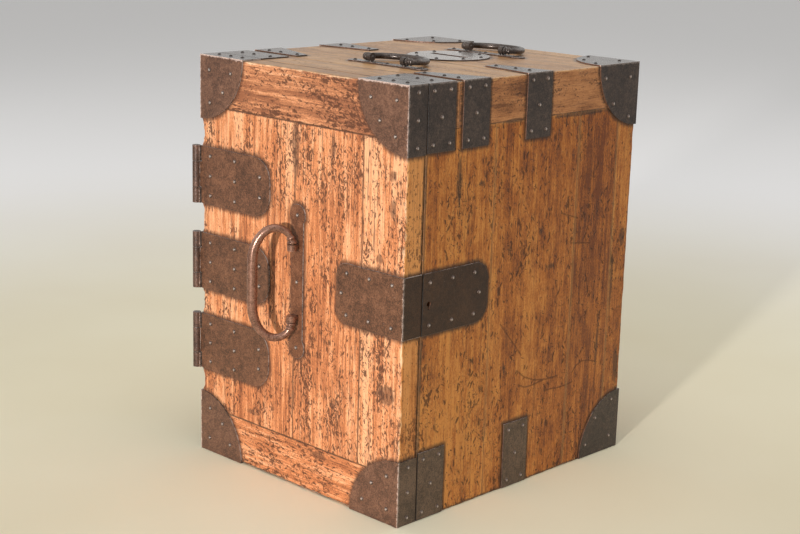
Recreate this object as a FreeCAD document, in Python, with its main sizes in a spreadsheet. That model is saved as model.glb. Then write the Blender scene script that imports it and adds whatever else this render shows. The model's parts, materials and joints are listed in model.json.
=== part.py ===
import FreeCAD, Part
import os
import re
from math import cos, pi, radians, sin, sqrt
from types import SimpleNamespace

from FreeCAD import Placement, Rotation, Vector

# Iron-bound wooden money box: +Z up, door towards -Y, origin under the middle of the case

# Driving dimensions, in millimetres, with angles in degrees and one count of nails
DIMS = {
    # wooden case
    "width": 278,
    "depth": 323,
    "height": 399,
    "side_thick": 20,
    "top_thick": 41,
    "back_thick": 26,
    "bottom_thick": 18,
    "side_front_board": 92,
    "side_middle_board": 121,
    "top_front_board": 41,
    "top_middle_board": 92,
    # door
    "door_thick": 22,
    "door_gap": 0.8,
    "door_lift": 1.5,
    "door_inset": 0.6,
    "door_top_rail": 48,
    "door_bottom_rail": 45,
    "door_seam_offset": 3.4,
    "door_middle_board": 89,
    # corner irons and straps
    "iron": 1.2,
    "iron_lift": 0.6,
    "corner_radius": 62,
    "strap_width": 35,
    "strap_drop": 61,
    "strap_reach": 62,
    "strap_tip": 14,
    "second_strap": 45,
    "third_strap": 132,
    "low_strap_drop": 65,
    "low_second_strap": 119,
    # hinges
    "hinge_low": 114.5,
    "hinge_high_drop": 116,
    "hinge_middle_drop": 1.75,
    "hinge_height": 57,
    "hinge_leaf": 101,
    "hinge_side_leaf": 62,
    "hinge_round": 22,
    "hinge_end_knuckle": 15.4,
    "knuckle_gap": 0.4,
    "barrel_radius": 4,
    "hinge_pin": 2,
    "pin_out": 5.6,
    "pin_forward": 2.1,
    "pin_clearance": 0.05,
    # lock
    "lock_rise": 4.5,
    "lock_plate_height": 57,
    "lock_front_reach": 85,
    "lock_side_reach": 87,
    "lock_round": 13,
    "lock_side_round": 18,
    "keyhole_back": 8,
    "keyhole_radius": 2.6,
    "keyhole_drop": 5,
    "keyway_radius": 4.5,
    "lock_case_reach": 19,
    "lock_case_length": 40,
    "lock_case_height": 60,
    "lock_case_setback": 1.5,
    "lock_case_wall": 3,
    "staple_plate": 1.2,
    "staple_plate_height": 32,
    "staple_width": 12,
    "staple_thick": 3,
    "staple_length": 24,
    "staple_rise": 12,
    "staple_eye": 15,
    "staple_hole_width": 6.4,
    "staple_hole_length": 8.4,
    "staple_swing": 3.5,
    "bolt_clearance": 0.4,
    "guide_clearance": 0.2,
    "bolt_length": 31,
    "bolt_drop": 2.5,
    "bolt_travel": 10,
    # front handle
    "pull_offset": 1.8,
    "pull_rise": 2.5,
    "pull_spacing": 68,
    "pull_stand": 7.5,
    "pull_plate_length": 148,
    "pull_plate_width": 16,
    "pull_plate_end": 10.5,
    "pull_eye": 4.6,
    "pull_eye_length": 6,
    "pull_neck": 2.6,
    "pull_pin": 2,
    "pull_hook": 15,
    "pull_bend": 21.5,
    "pull_sweep": 32,
    "pull_bar": 4.9,
    "pull_bar_end": 3.1,
    "pull_rest_angle": 50,
    # carrying handles on top
    "carry_front": 72,
    "carry_rear": 226,
    "carry_front_side": 18,
    "carry_rear_side": 4.5,
    "carry_spacing": 44,
    "carry_stand": 5.6,
    "carry_plate_length": 100,
    "carry_plate_width": 10,
    "carry_plate_end": 7,
    "carry_eye": 4,
    "carry_eye_length": 5,
    "carry_neck": 2.1,
    "carry_pin": 1.6,
    "carry_hook": 8,
    "carry_bend": 27,
    "carry_sweep": 27,
    "carry_bar": 3.2,
    "carry_bar_end": 2.6,
    "carry_sag": 2.8,
    "eye_gap": 0.4,
    "collar_step": 0.9,
    "collar_length": 2.2,
    "post_depth": 14,
    # round plate with the coin slot
    "coin_plate_back": 176,
    "coin_plate_radius": 41,
    "coin_slot_length": 46,
    "coin_slot_width": 7,
    # nails
    "nail_head": 2,
    "nail_dome": 1.2,
    "nail_shank": 0.8,
    "nail_length": 10,
    "nail_edge": 7,
    "corner_nail": 20,
    "rim_nail_angle": 18,
    "rear_nail_angle": 14,
    "lock_nail_shift": 5,
    "coin_plate_nails": 8,
}

# Sizes that follow from those, so that the pieces keep together when one of them changes
DERIVED = {
    "door_left_board": "=width/2 - door_inset - door_seam_offset",
    "hinge_high": "=height - hinge_high_drop",
    "hinge_middle": "=(hinge_low + hinge_high)/2 - hinge_middle_drop",
    "lock_level": "=height/2 + lock_rise",
    "pull_level": "=height/2 + pull_rise",
}
CELLS = {**DIMS, **DERIVED}

doc = FreeCAD.newDocument("money_box")
sheet = doc.addObject("Spreadsheet::Sheet", "dims")
for row, (alias, value) in enumerate(CELLS.items(), start=1):
    sheet.set(f"A{row}", alias)
    sheet.set(f"B{row}", str(value))
    sheet.setAlias(f"B{row}", alias)
doc.recompute()
s = SimpleNamespace(**{alias: float(sheet.get(alias)) for alias in CELLS})

# Planes that many pieces share, as formulas of the sheet's names
FRONT = "(-depth/2)"
DOOR_BACK = "(-depth/2 + door_thick)"
CASE_FRONT = "(-depth/2 + door_thick + door_gap)"
BACK_INNER = "(depth/2 - back_thick)"
TOP_UNDER = "(height - top_thick)"
DOOR_EDGE = "(width/2 - door_inset)"
DOOR_WIDTH = "(width - 2*door_inset)"
WALL = "(width/2 - side_thick)"
PIN_X = "(-width/2 - pin_out)"
PIN_Y = "(-depth/2 - pin_forward)"
BOARD_TOP = "(height - door_top_rail)"
BOARD_BOTTOM = "(door_lift + door_bottom_rail)"

UP = Vector(0, 0, 1)
ALONG_X = Vector(1, 0, 0)
ALONG_Y = Vector(0, 1, 0)
parts = []


def formula(text):
    """The text with each of the sheet's names written as a cell of the sheet."""
    def cell(word):
        return f"dims.{word.group()}" if word.group() in CELLS else word.group()
    return re.sub(r"[a-z_]+", cell, text)


def bind(item, **sizes):
    for name, text in sizes.items():
        item.setExpression(name, formula(text))
    return item


def put(item, corner):
    for axis, text in zip("xyz", corner):
        item.setExpression(f"Placement.Base.{axis}", formula(text))
    return item


def keep(item, label):
    """Names a finished sub-part and lists it for writing."""
    item.Label = label
    parts.append(item)
    return item


def box(corner, size, kind="Part::Box", owner=doc.addObject):
    item = owner(kind, "block")
    bind(item, Length=size[0], Width=size[1], Height=size[2])
    return put(item, corner)


def rod(base, radius, length, along=UP, kind="Part::Cylinder", owner=doc.addObject):
    item = owner(kind, "rod")
    item.Placement = Placement(Vector(), Rotation(UP, along))
    bind(item, Radius=radius, Height=length)
    return put(item, base)


def fuse(*items):
    whole = doc.addObject("Part::MultiFuse", "fused")
    whole.Shapes = list(items)
    whole.Refine = True
    return whole


def cut(base, *tools):
    result = doc.addObject("Part::Cut", "trimmed")
    result.Base = base
    result.Tool = tools[0] if len(tools) == 1 else fuse(*tools)
    return result


def common(first, second):
    result = doc.addObject("Part::Common", "shared")
    result.Base = first
    result.Tool = second
    return result


def mirror(source, normal, level="0"):
    """Mirror copy across a plane through X=0, or across a height of the door."""
    twin = doc.addObject("Part::Mirroring", "twin")
    twin.Source = source
    twin.Normal = normal
    return bind(twin, **{"Base.z": level})


def group(*items):
    together = doc.addObject("Part::Compound", "group")
    together.Links = list(items)
    return together


class SheetIron:
    """A body of plates and knuckles, each added to or taken from the one before."""

    def __init__(self, label):
        self.body = keep(doc.addObject("PartDesign::Body", label), label)

    def add_box(self, corner, size):
        return box(corner, size, "PartDesign::AdditiveBox", self.body.newObject)

    def take_box(self, corner, size):
        return box(corner, size, "PartDesign::SubtractiveBox", self.body.newObject)

    def add_rod(self, base, radius, length, along=UP):
        return rod(base, radius, length, along, "PartDesign::AdditiveCylinder", self.body.newObject)

    def take_rod(self, base, radius, length, along=UP):
        return rod(base, radius, length, along, "PartDesign::SubtractiveCylinder", self.body.newObject)

    def round_end(self, blank, thickness_axis, far_axis, end, radius):
        """Rounds the plate's two corners at one end, max or min along an axis."""
        doc.recompute()
        limit = end(edge.CenterOfMass[far_axis] for edge in blank.Shape.Edges)
        names = []
        for number, edge in enumerate(blank.Shape.Edges, start=1):
            across = abs(edge.tangentAt(edge.FirstParameter)[thickness_axis]) > 0.99
            if across and abs(edge.CenterOfMass[far_axis] - limit) < 1e-6:
                names.append(f"Edge{number}")
        fillet = self.body.newObject("PartDesign::Fillet", "rounded")
        fillet.Base = (blank, names)
        bind(fillet, Radius=radius)


def case_boards():
    """Sides of upright boards, a top of thick boards laid across them, back and bottom."""
    key_y = f"{CASE_FRONT} + keyhole_back"
    middle_y = f"{CASE_FRONT} + side_front_board"
    rear_y = f"{middle_y} + side_middle_board"
    for side, low_x in (("right", WALL), ("left", "-width/2")):
        front = box((low_x, CASE_FRONT, "0"), ("side_thick", "side_front_board", TOP_UNDER))
        if side == "right":
            keyway = rod((low_x, key_y, "lock_level"), "keyway_radius", "side_thick", ALONG_X)
            front = cut(front, keyway)
        keep(front, f"{side}_side_front_board")
        middle = box((low_x, middle_y, "0"), ("side_thick", "side_middle_board", TOP_UNDER))
        keep(middle, f"{side}_side_middle_board")
        rear = box((low_x, rear_y, "0"), ("side_thick", f"{BACK_INNER} - ({rear_y})", TOP_UNDER))
        keep(rear, f"{side}_side_rear_board")

    middle_y = f"{CASE_FRONT} + top_front_board"
    rear_y = f"{middle_y} + top_middle_board"
    slot = box(
        ("-coin_slot_length/2", f"{CASE_FRONT} + coin_plate_back - coin_slot_width/2", TOP_UNDER),
        ("coin_slot_length", "coin_slot_width", "top_thick"),
    )
    front = box(("-width/2", CASE_FRONT, TOP_UNDER), ("width", "top_front_board", "top_thick"))
    keep(front, "top_front_board")
    middle = box(("-width/2", middle_y, TOP_UNDER), ("width", "top_middle_board", "top_thick"))
    keep(middle, "top_middle_board")
    rear = box(("-width/2", rear_y, TOP_UNDER), ("width", f"{BACK_INNER} - ({rear_y})", "top_thick"))
    keep(cut(rear, slot), "top_rear_board")

    back = box(("-width/2", BACK_INNER, "0"), ("width", "back_thick", "height"))
    keep(back, "back_panel")
    bottom = box(
        (f"-{WALL}", CASE_FRONT, "0"),
        (f"2*{WALL}", f"{BACK_INNER} - {CASE_FRONT}", "bottom_thick"),
    )
    keep(bottom, "bottom_board")


def door_boards():
    """Three upright boards between a rail across the top and one across the bottom."""
    tall = f"{BOARD_TOP} - {BOARD_BOTTOM}"
    widths = {
        "left": "door_left_board",
        "middle": "door_middle_board",
        "right": f"{DOOR_WIDTH} - door_left_board - door_middle_board",
    }
    low_x = f"-{DOOR_EDGE}"
    for name, wide in widths.items():
        board = box((low_x, FRONT, BOARD_BOTTOM), (wide, "door_thick", tall))
        keep(board, f"door_{name}_board")
        low_x = f"{low_x} + {wide}"
    top = box((f"-{DOOR_EDGE}", FRONT, BOARD_TOP), (DOOR_WIDTH, "door_thick", "door_top_rail"))
    keep(top, "door_top_rail")
    bottom = box((f"-{DOOR_EDGE}", FRONT, "door_lift"), (DOOR_WIDTH, "door_thick", "door_bottom_rail"))
    keep(bottom, "door_bottom_rail")


def door_corner_irons():
    """Quarter-round leaf on the door's face, bent back over its edge and its end."""
    corner_x = f"({DOOR_EDGE} + iron)"
    corner_z = "(height + iron)"
    deep = "door_thick + iron"
    leaf = rod((corner_x, FRONT, corner_z), "corner_radius", "iron")
    leaf.Angle = 90
    leaf.Placement = Placement(Vector(), Rotation(-ALONG_X, -UP, -ALONG_Y, "XYZ"))
    edge = box(
        (DOOR_EDGE, f"{FRONT} - iron", f"{corner_z} - corner_radius"),
        ("iron", deep, "corner_radius"),
    )
    end = box(
        (f"{corner_x} - corner_radius", f"{FRONT} - iron", "height"),
        ("corner_radius", deep, "iron"),
    )
    top_right = keep(fuse(leaf, edge, end), "door_corner_iron_top_right")
    top_left = keep(mirror(top_right, ALONG_X), "door_corner_iron_top_left")
    middle = "(height + door_lift)/2"
    keep(mirror(top_right, UP, middle), "door_corner_iron_bottom_right")
    keep(mirror(top_left, UP, middle), "door_corner_iron_bottom_left")


def rear_corner_irons():
    """Leaves on side, back and top that are quarter rounds about the case's corner."""
    outer_x = "(width/2 + iron)"
    outer_y = "(depth/2 + iron)"
    size = ("corner_radius", "corner_radius", "corner_radius")
    heights = {
        "top": ("height + iron - corner_radius", "height - corner_radius", "height + iron"),
        "bottom": ("iron_lift", "iron_lift - iron", "iron_lift"),
    }
    inner_tall = {"top": "corner_radius", "bottom": "corner_radius + 2*iron"}
    for level, (low_z, inner_z, centre_z) in heights.items():
        block = box((f"{outer_x} - corner_radius", f"{outer_y} - corner_radius", low_z), size)
        wood = box(
            ("width/2 - corner_radius", "depth/2 - corner_radius", inner_z),
            ("corner_radius", "corner_radius", inner_tall[level]),
        )
        ball = doc.addObject("Part::Sphere", "ball")
        bind(ball, Radius="corner_radius")
        put(ball, (outer_x, outer_y, centre_z))
        right = keep(common(cut(block, wood), ball), f"rear_corner_iron_{level}_right")
        keep(mirror(right, ALONG_X), f"rear_corner_iron_{level}_left")


def straps():
    """Straps bent over the top edges, and plain ones low on the sides."""
    tips = {
        "front": ("0", "0", "strap_width"),
        "second": ("second_strap", "0", "strap_tip"),
        "third": ("third_strap", "(strap_width - strap_tip)/2", "(strap_width + strap_tip)/2"),
    }
    for name, (start, tip_low, tip_high) in tips.items():
        low_y = f"{CASE_FRONT} + {start}"
        leg = box(("width/2", low_y, "height + iron - strap_drop"), ("iron", "strap_width", "strap_drop"))
        tongue = doc.addObject("Part::Wedge", "tongue")
        tongue.Placement = Placement(Vector(), Rotation(UP, 90))
        bind(tongue, Xmin="0", Ymin="0", Zmin="0", Xmax="strap_width", Ymax="strap_reach", Zmax="iron")
        bind(tongue, X2min=tip_low, X2max=tip_high, Z2min="0", Z2max="iron")
        put(tongue, ("width/2 + iron", low_y, "height"))
        right = keep(fuse(leg, tongue), f"right_{name}_strap")
        keep(mirror(right, ALONG_X), f"left_{name}_strap")
    for name, start in (("front", "0"), ("second", "low_second_strap")):
        low_y = f"{CASE_FRONT} + {start}"
        leg = box(("width/2", low_y, "iron_lift"), ("iron", "strap_width", "low_strap_drop"))
        right = keep(leg, f"right_low_{name}_strap")
        keep(mirror(right, ALONG_X), f"left_low_{name}_strap")


def hinges():
    """Door leaf with the middle knuckle, case leaf with the end knuckles, and the pins."""
    bore = "hinge_pin + pin_clearance"
    leaf_x = f"(-{DOOR_EDGE})"
    side_x = "(-width/2 - iron)"
    tab_y = f"({PIN_Y} - iron/2)"
    pins = []
    for name in ("high", "middle", "low"):
        low_z = f"(hinge_{name} - hinge_height/2)"
        middle_z = f"({low_z} + hinge_end_knuckle + knuckle_gap)"
        middle_tall = "(hinge_height - 2*hinge_end_knuckle - 2*knuckle_gap)"
        door_leaf = SheetIron(f"hinge_{name}_door_leaf")
        blank = door_leaf.add_box((leaf_x, f"{FRONT} - iron", low_z), ("hinge_leaf", "iron", "hinge_height"))
        door_leaf.round_end(blank, 1, 0, max, "hinge_round")
        door_leaf.add_box((PIN_X, f"{FRONT} - iron", middle_z), (f"{leaf_x} - {PIN_X}", "iron", middle_tall))
        door_leaf.add_rod((PIN_X, PIN_Y, middle_z), "barrel_radius", middle_tall)
        door_leaf.take_rod((PIN_X, PIN_Y, low_z), bore, "hinge_height")

        side_leaf = SheetIron(f"hinge_{name}_side_leaf")
        blank = side_leaf.add_box((side_x, CASE_FRONT, low_z), ("iron", "hinge_side_leaf", "hinge_height"))
        side_leaf.round_end(blank, 0, 1, max, "hinge_round")
        for knuckle_z in (low_z, f"{low_z} + hinge_height - hinge_end_knuckle"):
            side_leaf.add_box(
                (side_x, tab_y, knuckle_z), ("iron", f"{CASE_FRONT} - {tab_y}", "hinge_end_knuckle")
            )
            side_leaf.add_box((PIN_X, tab_y, knuckle_z), ("pin_out", "iron", "hinge_end_knuckle"))
            side_leaf.add_rod((PIN_X, PIN_Y, knuckle_z), "barrel_radius", "hinge_end_knuckle")
        side_leaf.take_rod((PIN_X, PIN_Y, low_z), bore, "hinge_height")
        pins.append(rod((PIN_X, PIN_Y, low_z), "hinge_pin", "hinge_height"))
    keep(group(*pins), "hinge_pins")


def lock():
    """Plate round the door's edge, side plate with keyhole, lock case, bolt and staple."""
    low_z = "(lock_level - lock_plate_height/2)"
    door_plate = SheetIron("door_lock_plate")
    blank = door_plate.add_box(
        (f"{DOOR_EDGE} + iron - lock_front_reach", f"{FRONT} - iron", low_z),
        ("lock_front_reach", "iron", "lock_plate_height"),
    )
    door_plate.round_end(blank, 1, 0, min, "lock_round")
    door_plate.add_box(
        (DOOR_EDGE, f"{FRONT} - iron", low_z), ("iron", "door_thick + iron", "lock_plate_height")
    )

    key_y = f"({CASE_FRONT} + keyhole_back)"
    side_plate = SheetIron("lock_side_plate")
    blank = side_plate.add_box(
        ("width/2", CASE_FRONT, low_z), ("iron", "lock_side_reach", "lock_plate_height")
    )
    side_plate.round_end(blank, 0, 1, max, "lock_side_round")
    side_plate.take_rod(("width/2", key_y, "lock_level"), "keyhole_radius", "iron", ALONG_X)
    side_plate.take_box(
        ("width/2", f"{key_y} - keyhole_radius/2", "lock_level - keyhole_drop"),
        ("iron", "keyhole_radius", "keyhole_drop"),
    )

    staple_x = f"({WALL} - staple_swing - staple_width)"
    eye_x = f"({staple_x} + staple_width/2)"
    eye_y = f"({DOOR_BACK} + staple_eye)"
    tongue_z = "(lock_level + staple_rise)"
    plate = box(
        (staple_x, DOOR_BACK, f"{tongue_z} - staple_plate_height/2"),
        ("staple_width", "staple_plate", "staple_plate_height"),
    )
    tongue = box((staple_x, DOOR_BACK, tongue_z), ("staple_width", "staple_length", "staple_thick"))
    hole = box(
        (f"{eye_x} - staple_hole_width/2", f"{eye_y} - staple_hole_length/2", tongue_z),
        ("staple_hole_width", "staple_hole_length", "staple_thick"),
    )
    keep(cut(fuse(plate, tongue), hole), "door_staple")

    bolt_wide = "(staple_hole_width - 2*bolt_clearance)"
    bolt_deep = "(staple_hole_length - 2*bolt_clearance)"
    bolt_z = f"({tongue_z} - bolt_drop - bolt_length)"
    bolt = box(
        (f"{eye_x} - {bolt_wide}/2", f"{eye_y} - {bolt_deep}/2", bolt_z),
        (bolt_wide, bolt_deep, "bolt_length"),
    )
    keep(bolt, "lock_bolt")

    case_x = f"({WALL} - lock_case_reach)"
    case_y = f"({CASE_FRONT} + lock_case_setback)"
    case_z = "(lock_level - lock_case_height/2)"
    block = box((case_x, case_y, case_z), ("lock_case_reach", "lock_case_length", "lock_case_height"))
    mouth_x = f"({case_x} + lock_case_wall)"
    mouth = box(
        (mouth_x, case_y, f"{tongue_z} - bolt_drop/2"),
        (f"{WALL} - {mouth_x}", f"{DOOR_BACK} + staple_length + staple_swing - {case_y}",
         "bolt_drop + staple_thick + bolt_travel - bolt_drop/2"),
    )
    channel = box(
        (f"{eye_x} - {bolt_wide}/2 - guide_clearance", f"{eye_y} - {bolt_deep}/2 - guide_clearance",
         f"{bolt_z} - guide_clearance"),
        (f"{bolt_wide} + 2*guide_clearance", f"{bolt_deep} + 2*guide_clearance",
         "bolt_length + bolt_drop + guide_clearance"),
    )
    keyway = rod((eye_x, key_y, "lock_level"), "keyway_radius", f"{WALL} - {eye_x}", ALONG_X)
    keep(cut(block, mouth, channel, keyway), "lock_case")


def handle_plate(label, name, centre, along):
    """Slim back plate with a round flare at each end, lying along X or along Z."""
    length = f"({name}_plate_length - 2*{name}_plate_end)"
    x, y, z = centre
    if along == "x":
        low = (f"{x} - {length}/2", f"{y} - {name}_plate_width/2", z)
        strip = box(low, (length, f"{name}_plate_width", "iron"))
        ends = [rod((f"{x} {sign} {length}/2", y, z), f"{name}_plate_end", "iron") for sign in "+-"]
    else:
        low = (f"{x} - {name}_plate_width/2", f"{y} - iron", f"{z} - {length}/2")
        strip = box(low, (f"{name}_plate_width", "iron", length))
        levels = [f"{z} {sign} {length}/2" for sign in "+-"]
        ends = [rod((x, y, level), f"{name}_plate_end", "iron", -ALONG_Y) for level in levels]
    keep(fuse(strip, *ends), label)


def handle_posts(name, centre, along, outward):
    """Two posts driven into the wood, each with an eye on the bail's axis."""
    posts = []
    stand = f"{name}_stand"
    for sign in "+-":
        shift = f" {sign} {name}_spacing/2"
        root, eye, hole = list(centre), list(centre), list(centre)
        across = "xyz".index(along)
        for point in (root, eye, hole):
            point[across] = f"{point[across]}{shift}"
        eye[across] = f"{eye[across]} - {name}_eye_length/2"
        hole[across] = f"{hole[across]} - {name}_eye_length"
        facing = "yz".index(outward) + 1
        inward = "-" if outward == "z" else "+"
        root[facing] = f"{root[facing]} {inward} {stand} {inward} post_depth"
        turn = ALONG_X if along == "x" else UP
        neck = rod(root, f"{name}_neck", f"{stand} + post_depth", UP if outward == "z" else -ALONG_Y)
        ring = rod(eye, f"{name}_eye", f"{name}_eye_length", turn)
        bore = rod(hole, f"{name}_pin + pin_clearance", f"2*{name}_eye_length", turn)
        posts.append(cut(fuse(neck, ring), bore))
    return posts


def oval_bend(crown, corner, knee):
    """Quarter of an oval from the crown to the knee, touching the lines through their shared corner."""
    fullness = 4/3*(sqrt(2) - 1)
    curve = Part.BezierCurve()
    curve.setPoles([crown, crown + (corner - crown)*fullness, knee + (corner - knee)*fullness, knee])
    return curve


def bail_shape(spacing, eye_length, pin, hook, bend, sweep, bar, bar_end):
    """C-shaped bar about the Z axis, reaching along +X, thickest at the grip, pinned in the eyes."""
    start = spacing/2 + eye_length/2 + s.eye_gap
    crown = start + hook
    knee = crown - sweep
    reach = hook + bend
    slant = sin(pi/4)

    def at(x, z):
        return Vector(x, 0, z)

    upper_hook = Part.Arc(at(0, start), at(hook - hook*slant, start + hook*slant), at(hook, crown))
    upper_bend = oval_bend(at(hook, crown), at(reach, crown), at(reach, knee))
    upper_grip = Part.LineSegment(at(reach, knee), at(reach, 0))
    lower_grip = Part.LineSegment(at(reach, 0), at(reach, -knee))
    lower_bend = oval_bend(at(reach, -knee), at(reach, -crown), at(hook, -crown))
    lower_hook = Part.Arc(at(hook, -crown), at(hook - hook*slant, -start - hook*slant), at(0, -start))
    curves = (upper_hook, upper_bend, upper_grip, lower_grip, lower_bend, lower_hook)
    path = Part.Wire([curve.toShape() for curve in curves])
    sections = ((at(0, start), bar_end), (at(reach, 0), bar), (at(0, -start), bar_end))
    rings = [Part.Wire([Part.Circle(spot, UP, radius).toShape()]) for spot, radius in sections]
    shape = path.makePipeShell(rings, True, False)
    pin_length = s.eye_gap + eye_length
    for way in (1, -1):
        tip = Part.makeCylinder(pin, pin_length, at(0, way*start), UP*-way)
        collar = Part.makeCylinder(bar_end + s.collar_step, s.collar_length, at(0, way*start), UP*way)
        shape = shape.fuse([tip, collar])
    return shape.removeSplitter()


def front_handle():
    """Handle on the door; the bail stands off the door at its rest angle."""
    centre = ("pull_offset", FRONT, "pull_level")
    axis = ("pull_offset", f"{FRONT} - pull_stand", "pull_level")
    handle_plate("front_handle_plate", "pull", centre, "z")
    keep(group(*handle_posts("pull", axis, "z", "y")), "front_handle_posts")
    bail = doc.addObject("Part::Feature", "front_bail")
    bail.Shape = bail_shape(
        s.pull_spacing, s.pull_eye_length, s.pull_pin, s.pull_hook, s.pull_bend, s.pull_sweep,
        s.pull_bar, s.pull_bar_end
    )
    spot = Vector(s.pull_offset, -s.depth/2 - s.pull_stand, s.pull_level)
    bail.Placement = Placement(spot, Rotation(UP, 180 + s.pull_rest_angle))
    keep(bail, "front_bail")


def carrying_handles():
    """Two handles across the top; at rest the bails lie back and sag to the wood."""
    posts = []
    lying = Rotation(ALONG_X, -s.carry_sag)*Rotation(ALONG_Y, UP, ALONG_X, "XYZ")
    case_front = -s.depth/2 + s.door_thick + s.door_gap
    places = {"front": (s.carry_front_side, s.carry_front), "rear": (s.carry_rear_side, s.carry_rear)}
    for name, (side, back) in places.items():
        axis_x, axis_y = f"carry_{name}_side", f"{CASE_FRONT} + carry_{name}"
        handle_plate(f"top_{name}_handle_plate", "carry", (axis_x, axis_y, "height"), "x")
        posts += handle_posts("carry", (axis_x, axis_y, "height + carry_stand"), "x", "z")
        bail = doc.addObject("Part::Feature", f"top_{name}_bail")
        bail.Shape = bail_shape(
            s.carry_spacing, s.carry_eye_length, s.carry_pin, s.carry_hook, s.carry_bend, s.carry_sweep,
            s.carry_bar, s.carry_bar_end
        )
        bail.Placement = Placement(Vector(side, case_front + back, s.height + s.carry_stand), lying)
        keep(bail, f"top_{name}_bail")
    keep(group(*posts), "top_handle_posts")


def coin_plate():
    """Round plate nailed on the top, with a slot over the slot in the wood."""
    centre_y = f"({CASE_FRONT} + coin_plate_back)"
    plate = SheetIron("coin_slot_plate")
    plate.add_rod(("0", centre_y, "height"), "coin_plate_radius", "iron")
    plate.take_box(
        ("-coin_slot_length/2", f"{centre_y} - coin_slot_width/2", "height"),
        ("coin_slot_length", "coin_slot_width", "iron"),
    )


def nail_shape():
    """One dome-headed nail, its head's underside at Z=0."""
    foot = Vector(0, 0, -s.nail_length)
    shank = Part.makeCylinder(s.nail_shank, s.nail_length, foot)
    ball_radius = (s.nail_head**2 + s.nail_dome**2)/(2*s.nail_dome)
    ball = Part.makeSphere(ball_radius, Vector(0, 0, s.nail_dome - ball_radius))
    slab = Part.makeCylinder(s.nail_head, s.nail_dome)
    return ball.common(slab).fuse(shank).removeSplitter()


def nail_group(label, spots):
    nail = nail_shape()
    nails = []
    for place, outward in spots:
        copy = nail.copy()
        copy.Placement = Placement(Vector(*place), Rotation(UP, Vector(*outward)))
        nails.append(copy)
    item = doc.addObject("Part::Feature", label)
    item.Shape = Part.makeCompound(nails)
    keep(item, label)


def corner_nails(inset, end_angle):
    """Distances from a corner iron's two edges: one nail near the corner, three round the rim."""
    rim = s.corner_radius - inset
    polar = [(s.corner_nail, 45)] + [(rim, angle) for angle in (end_angle, 45, 90 - end_angle)]
    return [(far*cos(radians(angle)), far*sin(radians(angle))) for far, angle in polar]


def three_along(length, inset):
    """A nail near each end of a plate and one midway."""
    return (inset, length/2, length - inset)


def door_nails():
    """Nails in the corner irons, hinge leaves, lock plate and handle plate of the door."""
    face = -s.depth/2 - s.iron
    edge = s.width/2 - s.door_inset
    forward = (0, -1, 0)
    leaf_spots = corner_nails(2*s.nail_edge, s.rim_nail_angle)
    edge_steps = three_along(s.corner_radius, s.nail_edge)
    end_steps = three_along(s.corner_radius, 2*s.nail_edge)
    strip_y = -s.depth/2 + s.door_thick/2
    spots = []
    for side in (1, -1):
        for corner_z, inward in ((s.height + s.iron, -1), (s.door_lift - s.iron, 1)):
            for across, down in leaf_spots:
                spots.append(((side*(edge + s.iron - across), face, corner_z + inward*down), forward))
            for step in edge_steps:
                spots.append(((side*(edge + s.iron), strip_y, corner_z + inward*step), (side, 0, 0)))
        for step in end_steps:
            spots.append(((side*(edge + s.iron - step), strip_y, s.height + s.iron), (0, 0, 1)))

    row = s.hinge_height/2 - s.nail_edge - s.nail_head
    for level in (s.hinge_high, s.hinge_middle, s.hinge_low):
        columns = {2*s.nail_edge: (row, 0, -row), s.hinge_leaf/2: (row, 0, -row)}
        columns[s.hinge_leaf - 2*s.nail_edge] = (row/2, -row/2)
        for across, rows in columns.items():
            spots += [((-edge + across, face, level + rise), forward) for rise in rows]

    row = s.lock_plate_height/2 - s.nail_edge - s.nail_head
    inner = edge + s.iron - s.lock_front_reach
    for across in three_along(s.lock_front_reach, 2*s.nail_edge):
        for rise in (row, -row):
            spots.append(((inner + across, face, s.lock_level + rise), forward))
    spots.append(((inner + s.nail_edge, face, s.lock_level), forward))

    end = s.pull_plate_length/2 - s.pull_plate_end
    spots += [((s.pull_offset, face, s.pull_level + rise), forward) for rise in (end, 0, -end)]
    nail_group("door_nails", spots)


def strap_nails(start, top, drop):
    """Five nails on the upright leg of a strap, as places along Y and heights."""
    near, far = start + s.nail_edge, start + s.strap_width - s.nail_edge
    high, low = top - s.nail_edge, top - drop + s.nail_edge
    return [(near, high), (far, high), ((near + far)/2, (high + low)/2), (near, low), (far, low)]


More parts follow.
